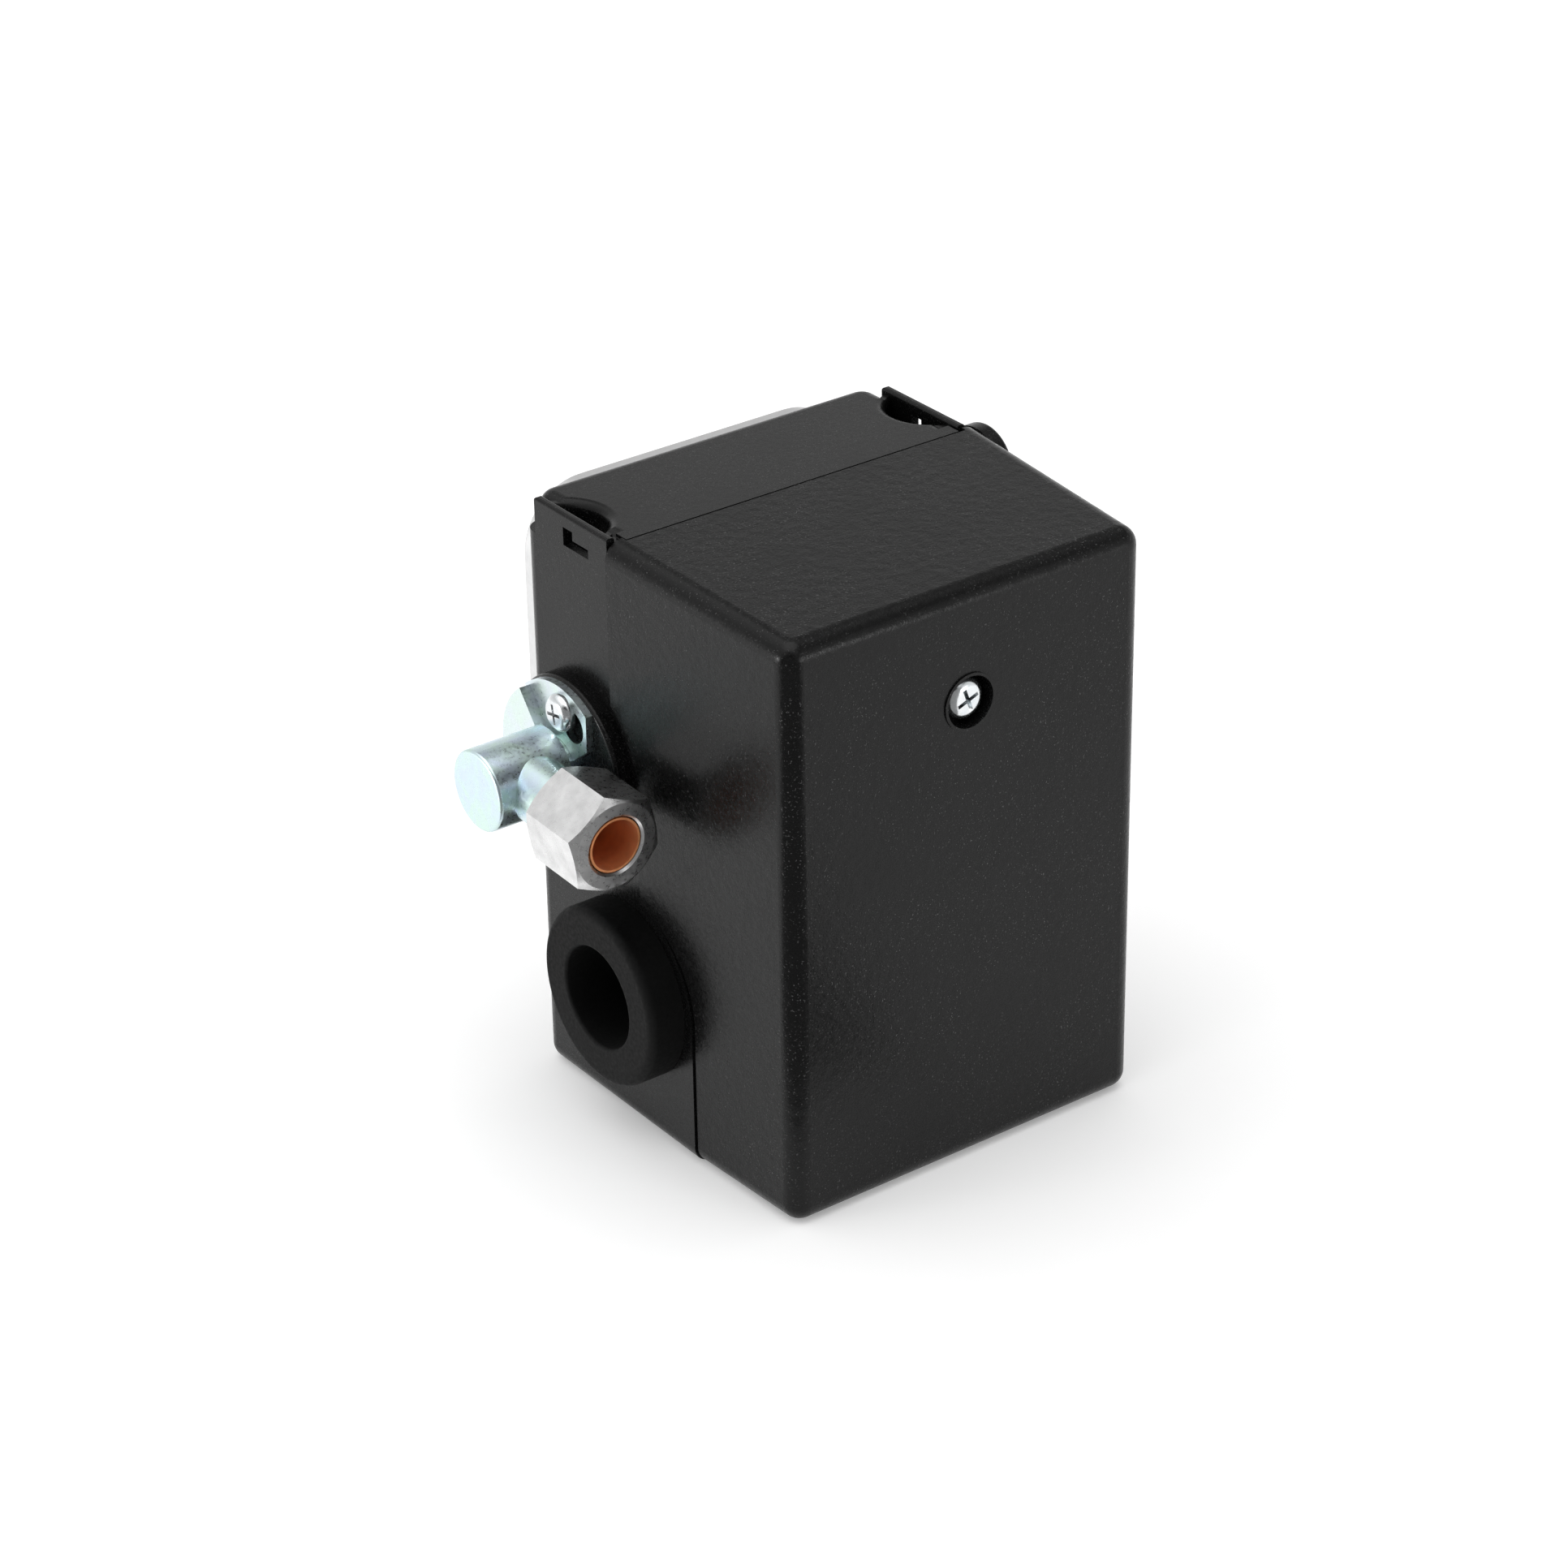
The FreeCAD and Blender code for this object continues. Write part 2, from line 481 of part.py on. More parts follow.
def make_range_screw():
    tip = SPRING_FRONT - 2.2
    shank = rod_y(0, FLANGE_Z, -20.5, tip, RANGE_SCREW_RADIUS)
    head = aim(chamfered_hexagon(10, 4.2, 15, False), Vector(0, -20, FLANGE_Z), Vector(0, -1, 0))
    return join([shank, head]).cut(box(-4, 4, -25, -22.8, FLANGE_Z - 0.6, FLANGE_Z + 0.6))


def make_trip_ramp():
    """Wedge on the lever's ear: it drives the valve stem outwards as the lever comes forward."""
    outline = [(-29.2, 19.75), (-24, 14.55), (-22, 14.55), (-22, LEVER_FRONT), (-29.2, LEVER_FRONT)]
    return prism_z(outline, 56.2, 61.2)


# ---------------------------------------------------------------- contacts and terminals
def make_terminal_block():
    block = box(-26, 26, BLOCK_FRONT, BLOCK_REAR, 34, 50)
    ears = [box(x, x + 8, BLOCK_FRONT, BLOCK_REAR, 49, 55) for x in (-26, 18)]
    ribs = [box(x - 0.8, x + 0.8, 8.5, BLOCK_FRONT + 1, 34, 43) for x in (-26 + 0.8, -13, 0, 13, 26 - 0.8)]
    solid = join([block] + ears + ribs)
    solid = solid.cut(box(-13.5, 13.5, LEVER_FRONT - 2.5, LEVER_REAR + 2, 49.5, 60))
    solid = solid.cut(rod_y(0, FLANGE_Z, LEVER_REAR + 1, BLOCK_REAR + 1, PISTON_RADIUS + 0.6))
    for x in TERMINAL_X:
        solid = solid.cut(rod_y(x, TERMINAL_SCREW_Z, BLOCK_FRONT - 1, BLOCK_FRONT + 8, 1.75 + RUNNING))
    for x in (-GUIDE_X, GUIDE_X):
        solid = solid.cut(rod_y(x, GUIDE_Z, BLOCK_FRONT - 1, BLOCK_FRONT + 6, 1.5))
    return solid


def make_fixed_contacts():
    strips = []
    for x in TERMINAL_X:
        strip = box(x - 4.8, x + 4.8, BLOCK_FRONT - 1.2, BLOCK_FRONT, 34.6, 49.4)
        strips.append(strip.cut(rod_y(x, TERMINAL_SCREW_Z, 0, 20, 1.75 + RUNNING)))
    return Part.makeCompound(strips)


def make_fixed_rivets():
    back = BLOCK_FRONT - 1.2
    return Part.makeCompound([rod_y(x, CONTACT_Z, back - 0.8, back, 2.0) for x in TERMINAL_X])


def make_terminal_screws():
    screw = pan_screw(3.3, 2.4, 1.75, 8.0)
    places = [Vector(x, BLOCK_FRONT - 1.2, TERMINAL_SCREW_Z) for x in TERMINAL_X]
    return Part.makeCompound([aim(screw, p, Vector(0, -1, 0), 25 * i) for i, p in enumerate(places)])


def make_ground_screws():
    screw = pan_screw(3.6, 2.4, 1.75, 1.6)
    places = [Vector(0, BLOCK_REAR + 0.1, z) for z in (17.0, 28.0)]
    return Part.makeCompound([aim(screw, p, Vector(0, -1, 0), 30 * i) for i, p in enumerate(places)])


def make_guides():
    return Part.makeCompound([rod_y(x, GUIDE_Z, -1.5, BLOCK_FRONT + 5, 1.5) for x in (-GUIDE_X, GUIDE_X)])


def make_carrier():
    bar = box(-26, 26, 3.0, 9.0, 43.8, 49.4)
    ears = [box(x, x + 8, 3.0, 9.0, 48, 55) for x in (-26, 18)]
    post = box(-4, 4, 2.0, 5.5, 45, 56)
    solid = join([bar, post] + ears)
    for x in (-13, 13):
        solid = solid.cut(rod_y(x, CONTACT_Z, 5.0, 10, 2.6))
    for x in (-GUIDE_X, GUIDE_X):
        solid = solid.cut(rod_y(x, GUIDE_Z, 0, 12, 1.5 + RUNNING))
    return solid


def make_bridges():
    return Part.makeCompound([box(x - 10.5, x + 10.5, 9.9, 11.1, 44.4, 48.6) for x in (-13, 13)])


def make_moving_rivets():
    return Part.makeCompound([rod_y(x, CONTACT_Z, 11.1, BLOCK_FRONT - 2.03, 2.0) for x in TERMINAL_X])


def make_contact_springs():
    coil = helical_spring(1.9, 0.4, 4.8, 4)
    return Part.makeCompound([aim(coil, Vector(x, 5.05, CONTACT_Z), Vector(0, 1, 0)) for x in (-13, 13)])


# ---------------------------------------------------------------- unloader valve
def bracket_axes():
    """Unit vectors in (y, z): along the bracket's step, and across it towards the rear."""
    return (-0.62, -0.785), (0.785, -0.62)


def half_plane(offset, normal, x0, x1):
    """Slab of the side view where the distance from the valve axis along normal is under offset."""
    tangent = (-normal[1], normal[0])
    points = []
    for along, out in ((-40, offset), (40, offset), (40, offset - 80), (-40, offset - 80)):
        points.append((VALVE_Y + tangent[0] * along + normal[0] * out,
                       VALVE_Z + tangent[1] * along + normal[1] * out))
    return prism_x(points, x0, x1)


def make_bracket():
    along, across = bracket_axes()
    sheet_x = PAD_FACE_X - BRACKET_SHEET
    near = rod_x(VALVE_Y, VALVE_Z, sheet_x, PAD_FACE_X, BRACKET_RADIUS)
    near = near.common(half_plane(BRACKET_SHEET / 2, across, sheet_x - 1, PAD_FACE_X + 1))
    near = near.common(half_plane(0.9, along, sheet_x - 1, PAD_FACE_X + 1))
    near = near.cut(box(sheet_x - 1, PAD_FACE_X + 1, -FAR, 10.7, 0, 2 * FAR))
    raised_x = sheet_x - BRACKET_STEP
    rear = rod_x(VALVE_Y, VALVE_Z, raised_x, raised_x + BRACKET_SHEET, BRACKET_RADIUS - 0.5)
    rear = rear.cut(half_plane(-BRACKET_SHEET / 2, across, raised_x - 1, PAD_FACE_X + 1))
    riser = rod_x(VALVE_Y, VALVE_Z, raised_x, PAD_FACE_X, BRACKET_RADIUS - 0.5)
    riser = riser.common(half_plane(BRACKET_SHEET / 2, across, raised_x - 1, PAD_FACE_X + 1))
    riser = riser.cut(half_plane(-BRACKET_SHEET / 2, across, raised_x - 1, PAD_FACE_X + 1))
    riser = riser.common(half_plane(4.5, along, raised_x - 1, PAD_FACE_X + 1))
    plate = join([near, rear, riser])
    plate = plate.cut(rod_x(VALVE_Y, VALVE_Z, -FAR, 0, 4.0 + RUNNING))
    slot_end = rod_x(BRACKET_SCREW_Y - 2.3, BRACKET_SCREW_Z - 1.7, -38.5, -30, 2.6)
    return plate.cut(rod_x(BRACKET_SCREW_Y, BRACKET_SCREW_Z, -38.5, -30, 1.8)).cut(slot_end)


def make_bracket_screw():
    screw = pan_screw(3.0, 1.9, 1.5, 5.6)
    seat = Vector(PAD_FACE_X - BRACKET_SHEET, BRACKET_SCREW_Y, BRACKET_SCREW_Z)
    return aim(screw, seat, Vector(-1, 0, 0), 10)


def tube_direction():
    tilt = math.radians(TUBE_TILT)
    return Vector(0, -math.cos(tilt), -math.sin(tilt))


def along_tube(distance):
    return Vector(TUBE_AXIS_X, VALVE_Y, VALVE_Z) + tube_direction() * distance


def tube_rod(start, end, radius):
    return Part.makeCylinder(radius, end - start, along_tube(start), tube_direction())


def make_valve_body():
    seat_x = PAD_FACE_X - BRACKET_SHEET - BRACKET_STEP
    barrel = rod_x(VALVE_Y, VALVE_Z, VALVE_END_X, seat_x, VALVE_RADIUS)
    barrel = fillet_where(barrel, 0.5, lambda e: e.BoundBox.XMax < VALVE_END_X + 0.1)
    spigot = rod_x(VALVE_Y, VALVE_Z, seat_x - 1, PAD_FACE_X, 4.0)
    neck = tube_rod(2, 14.2, 5.0)
    thread = tube_rod(13.4, 21.0, 6.0)
    solid = join([barrel, spigot, neck, thread])
    chamber = rod_x(VALVE_Y, VALVE_Z, VALVE_END_X + 2.0, seat_x - 2.5, 3.6)
    bore = rod_x(VALVE_Y, VALVE_Z, seat_x - 5, PAD_FACE_X + 1, 2.4)
    socket = tube_rod(11.0, 22.0, SLEEVE_OUTER + 0.25)
    duct = tube_rod(0, 12.0, 2.0)
    return solid.cut(chamber).cut(bore).cut(socket).cut(duct)


def make_stem_guide():
    seat_x = PAD_FACE_X - BRACKET_SHEET - BRACKET_STEP
    bush = rod_x(VALVE_Y, VALVE_Z, seat_x - 2.4, PAD_FACE_X, 2.4)
    return bush.cut(rod_x(VALVE_Y, VALVE_Z, -FAR, 0, STEM_RADIUS + RUNNING))


def make_stem():
    tip = -28.5
    pin = rod_x(VALVE_Y, VALVE_Z, -43.0, tip - STEM_RADIUS, STEM_RADIUS)
    dome = Part.makeSphere(STEM_RADIUS, Vector(tip - STEM_RADIUS, VALVE_Y, VALVE_Z))
    return join([pin, dome])


def make_poppet():
    disc = rod_x(VALVE_Y, VALVE_Z, -44.6, -43.0, 3.1)
    return disc.fuse(rod_x(VALVE_Y, VALVE_Z, -46.0, -44.6, 1.4)).removeSplitter()


def make_valve_spring():
    coil = helical_spring(2.5, 0.35, 5.3, 5)
    return aim(coil, Vector(-44.7, VALVE_Y, VALVE_Z), Vector(-1, 0, 0))


def make_nut():
    blank = chamfered_hexagon(NUT_FLATS, NUT_LENGTH, NUT_CLOCK + 90)
    blank = blank.cut(Part.makeCylinder(6.0 + RUNNING, NUT_LENGTH - NUT_LAND))
    blank = blank.cut(Part.makeCylinder(NUT_BORE, NUT_LENGTH + 1))
    blank = blank.cut(Part.makeCone(NUT_BORE, NUT_BORE + 0.35, 0.35, Vector(0, 0, NUT_LENGTH - 0.35)))
    return aim(blank, along_tube(NUT_FACE - NUT_LENGTH), tube_direction())


def make_sleeve():
    sleeve = tube_rod(12.0, NUT_FACE - 0.3, SLEEVE_OUTER)
    return sleeve.cut(tube_rod(11.0, NUT_FACE + 1, SLEEVE_INNER))


# ---------------------------------------------------------------- cable bushings
def make_bushing(side):
    """Round rubber bushing on the left (side -1) or right (side 1) wall."""
    wall = BASE_RIGHT if side > 0 else BASE_LEFT
    disc = Part.makeCylinder(BUSHING_RADIUS, BUSHING_FACE)
    disc = fillet_where(disc, 1.3, lambda e: e.CenterOfMass.z > BUSHING_FACE - 0.1)
    neck = Part.makeCylinder(BUSHING_NECK, WALL, Vector(0, 0, -WALL))
    collar = Part.makeCylinder(12.6, 1.6, Vector(0, 0, -WALL - 1.6))
    solid = join([disc, neck, collar])
    solid = solid.cut(Part.makeCylinder(BUSHING_HOLE, 40, Vector(0, 0, -20)))
    solid = fillet_where(solid, 0.5, lambda e: e.CenterOfMass.z > BUSHING_FACE - 0.1
                         and e.BoundBox.XMax < BUSHING_HOLE + 0.3)
    return aim(solid, Vector(wall, BUSHING_Y, BUSHING_Z), Vector(side, 0, 0))


# ---------------------------------------------------------------- auto/off lever
def make_auto_off():
    inner_x, outer_x = COVER_HALF_REAR + 0.3, COVER_HALF_REAR + 3.0
    hub = rod_x(KNOB_Y, KNOB_Z, inner_x, outer_x, KNOB_RADIUS)
    hub = fillet_where(hub, 0.8, lambda e: e.BoundBox.XMin > outer_x - 0.1)
    arm = box(inner_x, outer_x + 0.6, KNOB_Y - 4, KNOB_Y + 4, KNOB_Z - 27, KNOB_Z)
    arm = arm.fuse(box(inner_x, outer_x + 4.5, KNOB_Y - 5, KNOB_Y + 5, KNOB_Z - 29, KNOB_Z - 23))
    arm = arm.removeSplitter()
    arm = fillet_where(arm, 0.7, lambda e: e.BoundBox.XMin > outer_x + 0.2)
    arm = arm.rotated(Vector(0, KNOB_Y, KNOB_Z), Vector(1, 0, 0), -50)
    shaft = rod_x(KNOB_Y, KNOB_Z, CAM_INNER, inner_x + 1, KNOB_SHAFT)
    return join([hub, arm, shaft])


def make_off_cam():
    disc = rod_x(KNOB_Y, KNOB_Z, CAM_INNER, CAM_OUTER, 3.5)
    lobe = rod_x(KNOB_Y + 1.5, KNOB_Z - 4.2, CAM_INNER, CAM_OUTER, 2.0)
    return join([disc, lobe]).cut(rod_x(KNOB_Y, KNOB_Z, 0, FAR, KNOB_SHAFT))


NODES = {
    "cover": make_cover,
    "cover_screw": make_cover_screw,
    "base_housing": make_base,
    "pressure_flange": make_flange,
    "diaphragm": make_diaphragm,
    "diaphragm_piston": make_piston,
    "flange_screws": make_flange_screws,
    "chassis": make_chassis,
    "spring_bridge": make_bridge,
    "pivot_pin": make_pivot_pin,
    "pivot_clips": make_pivot_clips,
    "main_lever": make_lever,
    "spring_seat_lower": make_lower_seat,
    "spring_seat_upper": make_upper_seat,
    "range_spring": make_range_spring,
    "range_screw": make_range_screw,
    "trip_ramp": make_trip_ramp,
    "terminal_block": make_terminal_block,
    "fixed_contacts": make_fixed_contacts,
    "fixed_contact_rivets": make_fixed_rivets,
    "terminal_screws": make_terminal_screws,
    "ground_screws": make_ground_screws,
    "carrier_guides": make_guides,
    "contact_carrier": make_carrier,
    "contact_bridges": make_bridges,
    "moving_contact_rivets": make_moving_rivets,
    "contact_springs": make_contact_springs,
    "unloader_bracket": make_bracket,
    "bracket_screw": make_bracket_screw,
    "unloader_body": make_valve_body,
    "stem_guide": make_stem_guide,
    "unloader_stem": make_stem,
    "unloader_poppet": make_poppet,
    "unloader_spring": make_valve_spring,
    "compression_nut": make_nut,
    "copper_sleeve": make_sleeve,
    "cable_bushing_left": lambda: make_bushing(-1),
    "cable_bushing_right": lambda: make_bushing(1),
    "auto_off_lever": make_auto_off,
    "off_cam": make_off_cam,
}

os.makedirs("parts", exist_ok=True)
for name, maker in NODES.items():
    shape = maker()
    if not shape.isValid() or not shape.Solids:
        raise ValueError(f"{name} is not a valid solid")
    shape.exportStep(f"parts/{name}.step")
    bounds = shape.BoundBox
    print(f"{name}: {len(shape.Solids)} solid(s), {shape.Volume / 1000:.2f} cm3, "
          f"x {bounds.XMin:.1f}..{bounds.XMax:.1f} y {bounds.YMin:.1f}..{bounds.YMax:.1f} "
          f"z {bounds.ZMin:.1f}..{bounds.ZMax:.1f}")
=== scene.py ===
"""Looks of a compressor pressure switch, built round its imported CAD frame.

Metres, +Z up.  The cover faces -Y, the pressure port +Y and the unloader valve -X.
"""

import json
import math

import bmesh
import bpy
from mathutils import Matrix, Vector


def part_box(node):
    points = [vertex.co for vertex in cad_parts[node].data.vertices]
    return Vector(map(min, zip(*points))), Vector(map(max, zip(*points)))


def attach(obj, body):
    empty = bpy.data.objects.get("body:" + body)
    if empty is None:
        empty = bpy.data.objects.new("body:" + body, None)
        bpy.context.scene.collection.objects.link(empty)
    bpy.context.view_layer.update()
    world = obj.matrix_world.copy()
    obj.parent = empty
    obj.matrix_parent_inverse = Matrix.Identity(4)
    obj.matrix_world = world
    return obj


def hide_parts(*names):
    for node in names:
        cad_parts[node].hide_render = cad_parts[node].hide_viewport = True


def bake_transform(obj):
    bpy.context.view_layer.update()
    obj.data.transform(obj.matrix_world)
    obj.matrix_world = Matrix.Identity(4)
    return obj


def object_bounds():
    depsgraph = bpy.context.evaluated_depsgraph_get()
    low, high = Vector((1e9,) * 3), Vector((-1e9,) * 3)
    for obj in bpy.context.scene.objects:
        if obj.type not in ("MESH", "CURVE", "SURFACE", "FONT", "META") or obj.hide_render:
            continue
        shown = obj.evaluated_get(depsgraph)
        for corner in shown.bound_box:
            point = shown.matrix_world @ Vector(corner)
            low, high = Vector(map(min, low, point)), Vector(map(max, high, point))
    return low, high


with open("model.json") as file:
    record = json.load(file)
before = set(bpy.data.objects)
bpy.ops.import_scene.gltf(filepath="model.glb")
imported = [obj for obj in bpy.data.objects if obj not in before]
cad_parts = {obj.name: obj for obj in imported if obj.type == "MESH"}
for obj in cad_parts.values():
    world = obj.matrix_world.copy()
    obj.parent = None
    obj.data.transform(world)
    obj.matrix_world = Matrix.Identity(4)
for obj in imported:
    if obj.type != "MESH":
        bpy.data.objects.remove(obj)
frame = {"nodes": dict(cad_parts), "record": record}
cad_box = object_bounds()
NODES = frame["nodes"]
SLOT_OF = {part["node"]: part["material_slot"] for part in frame["record"]["subparts"]}
MIDDLE = (cad_box[0] + cad_box[1]) / 2
MM = 0.001


def grey(level):
    return (level,) * 3


# ---------------------------------------------------------------- camera
CAMERA_PLACE = Vector((-0.35858, -0.47778, 0.37498))
CAMERA_AZIMUTH = 36.14        # degrees from +Y towards +X that it looks
CAMERA_DROP = 28.52           # degrees below the horizon that it looks
CAMERA_ROLL = -0.97           # degrees
CAMERA_LENS = 103.75          # millimetres, on a sensor of CAMERA_SENSOR
CAMERA_SENSOR = 36.0
CAMERA_CLIP = (0.05, 20.0)


def make_camera():
    data = bpy.data.cameras.new("camera")
    data.sensor_width = CAMERA_SENSOR
    data.lens = CAMERA_LENS
    data.clip_start, data.clip_end = CAMERA_CLIP
    camera = bpy.data.objects.new("camera", data)
    bpy.context.scene.collection.objects.link(camera)
    azimuth, drop = math.radians(CAMERA_AZIMUTH), math.radians(CAMERA_DROP)
    forward = Vector((math.sin(azimuth) * math.cos(drop), math.cos(azimuth) * math.cos(drop),
                      -math.sin(drop)))
    right = forward.cross(Vector((0, 0, 1))).normalized()
    up = right.cross(forward)
    roll = math.radians(CAMERA_ROLL)
    axis_x = right * math.cos(roll) + up * math.sin(roll)
    axis_y = up * math.cos(roll) - right * math.sin(roll)
    turned = Matrix((axis_x, axis_y, -forward)).transposed().to_4x4()
    camera.matrix_world = Matrix.Translation(CAMERA_PLACE) @ turned
    bpy.context.scene.camera = camera


# ---------------------------------------------------------------- studio
# Heights below are the sine of a direction's elevation, and sides its X.
SKY = (                       # height and the light that comes from there
    (-1.0, 0.7), (-0.05, 0.95), (0.47, 0.70), (0.62, 0.95), (0.78, 1.15), (0.93, 2.1), (1.0, 2.2),
)
SKY_BRIGHTEST = 2.5           # the light that the colour ramp's white stands for
DARK_SIDE = Vector((-0.56, -0.76, 0.34))      # the unlit side of the room, behind the camera
DARK_START, DARK_FULL = 0.72, 0.95            # cosines of its edge
GAP_LIGHT = 0.3                               # what is left of the light in a gap high on the right
GAP_SIDE = (0.02, 0.26)                       # side at which the gap starts and is full
GAP_LOW, GAP_HIGH = (0.50, 0.60), (0.93, 0.85)    # height where it starts and is full, from below and above
SOFTBOXES = (                 # direction, distance, width, height, watts
    (Vector((-0.95, 0.32, 0.08)), 1.1, 0.24, 0.22, 3.0),
    (Vector((0.34, -0.93, 0.08)), 1.1, 0.20, 0.22, 2.2),
)
FLOOR_SIZE = 6.0
FLOOR_DROP = 0.02 * MM        # how far under the standing face the floor lies
FLOOR_GLOW = 0.25
FLOOR_GREYS = grey(0.88), grey(0.90)
FLAG_SECTION = ((0.074, 0.0001), (0.24, 0.0001), (0.24, 0.20))     # radius and height of its bends
FLAG_SPREAD = 48.0            # degrees to either side of DARK_SIDE
FLAG_STEPS = 12
FLAG_GREYS = grey(0.24), grey(0.28)


def make_sky():
    """Graded light for the object, and plain white behind it for the camera."""
    world = bpy.data.worlds.new("studio")
    world.use_nodes = True
    bpy.context.scene.world = world
    nodes, links = world.node_tree.nodes, world.node_tree.links

    def add(kind, *inputs, **attributes):
        node = nodes.new(kind)
        for attribute, value in attributes.items():
            setattr(node, attribute, value)
        for socket, value in enumerate(inputs):
            if isinstance(value, bpy.types.NodeSocket):
                links.new(value, node.inputs[socket])
            else:
                node.inputs[socket].default_value = value
        return node.outputs

    def product(first, second):
        return add("ShaderNodeMath", first, second, operation="MULTIPLY")[0]

    direction = add("ShaderNodeTexCoord")["Generated"]
    parts = add("ShaderNodeSeparateXYZ", direction)
    ramp = nodes.new("ShaderNodeValToRGB")
    links.new(add("ShaderNodeMapRange", parts["Z"], -1, 1, 0, 1)[0], ramp.inputs[0])
    stops = ramp.color_ramp.elements
    for _ in SKY[2:]:
        stops.new(0.5)
    for stop, (height, _) in zip(stops, SKY):        # all places first: the ramp sorts its stops
        stop.position = (height + 1) / 2
    for stop, (_, light) in zip(stops, SKY):
        stop.color = (*grey(light / SKY_BRIGHTEST), 1)

    facing = add("ShaderNodeVectorMath", direction, DARK_SIDE.normalized(), operation="DOT_PRODUCT")["Value"]
    lit = add("ShaderNodeMapRange", facing, DARK_START, DARK_FULL, 1.0, 0.0,
              interpolation_type="SMOOTHSTEP")[0]
    gap = add("ShaderNodeMapRange", parts["X"], *GAP_SIDE, 0, 1)[0]
    for edge in (GAP_LOW, GAP_HIGH):
        gap = product(gap, add("ShaderNodeMapRange", parts["Z"], *edge, 0, 1)[0])
    left = add("ShaderNodeMapRange", gap, 0, 1, 1, GAP_LIGHT)[0]
    light = product(product(product(ramp.outputs[0], lit), left), SKY_BRIGHTEST)
    seen = add("ShaderNodeLightPath")["Is Camera Ray"]
    light = add("ShaderNodeMath", light, seen, operation="MAXIMUM")[0]
    links.new(light, nodes["Background"].inputs["Strength"])
    nodes["Background"].inputs["Color"].default_value = (1, 1, 1, 1)


def make_softbox(name, place, width, height, watts):
    """An area light at place, counted from the object's middle, that faces that middle."""
    lamp = bpy.data.lights.new(name, "AREA")
    lamp.shape = "RECTANGLE"
    lamp.size, lamp.size_y, lamp.energy = width, height, watts
    softbox = bpy.data.objects.new(name, lamp)
    softbox.location = place + MIDDLE
    softbox.rotation_euler = place.to_track_quat("Z", "Y").to_euler()
    bpy.context.scene.collection.objects.link(softbox)


def make_floor():
    bpy.ops.mesh.primitive_plane_add(size=FLOOR_SIZE, location=(0, 0, cad_box[0].z - FLOOR_DROP))
    floor = bpy.context.object
    floor.name = "floor"
    paint = Look("floor", 0.8, Specular_IOR_Level=0.1, Emission_Strength=FLOOR_GLOW,
                 Emission_Color=(1, 1, 1, 1))
    paint.colour(paint.blend(paint.noise(0.02, 3), *FLOOR_GREYS))
    floor.data.materials.append(paint.material)


def make_flag():
    """A curved grey card round the camera side of the object, there only for reflections."""
    foot = Vector((MIDDLE.x, MIDDLE.y, cad_box[0].z))
    toward = math.atan2(DARK_SIDE.y, DARK_SIDE.x)
    mesh = bmesh.new()
    columns = []
    for step in range(FLAG_STEPS + 1):
        angle = toward + math.radians(FLAG_SPREAD) * (2 * step / FLAG_STEPS - 1)
        outward = Vector((math.cos(angle), math.sin(angle), 0))
        columns.append([mesh.verts.new(foot + outward * radius + Vector((0, 0, height)))
                        for radius, height in FLAG_SECTION])
    for here, beyond in zip(columns, columns[1:]):
        for low in range(len(FLAG_SECTION) - 1):
            mesh.faces.new((here[low], beyond[low], beyond[low + 1], here[low + 1]))
    data = bpy.data.meshes.new("flag")
    mesh.to_mesh(data)
    mesh.free()
    flag = bpy.data.objects.new("flag", data)
    bpy.context.scene.collection.objects.link(flag)
    card = Look("flag", 1.0, Specular_IOR_Level=0.0)
    card.colour(card.blend(card.noise(0.01), *FLAG_GREYS))
    data.materials.append(card.material)
    flag.visible_camera = flag.visible_shadow = flag.visible_diffuse = False


def make_studio():
    bpy.context.scene.view_settings.view_transform = "Standard"
    make_sky()
    for number, (toward, distance, width, height, watts) in enumerate(SOFTBOXES):
        make_softbox(f"softbox_{number}", toward.normalized() * distance, width, height, watts)
    make_floor()
    make_flag()


# ---------------------------------------------------------------- materials
NOISE_RANGE = (0.3, 0.7)      # where nearly all of a noise texture's values lie


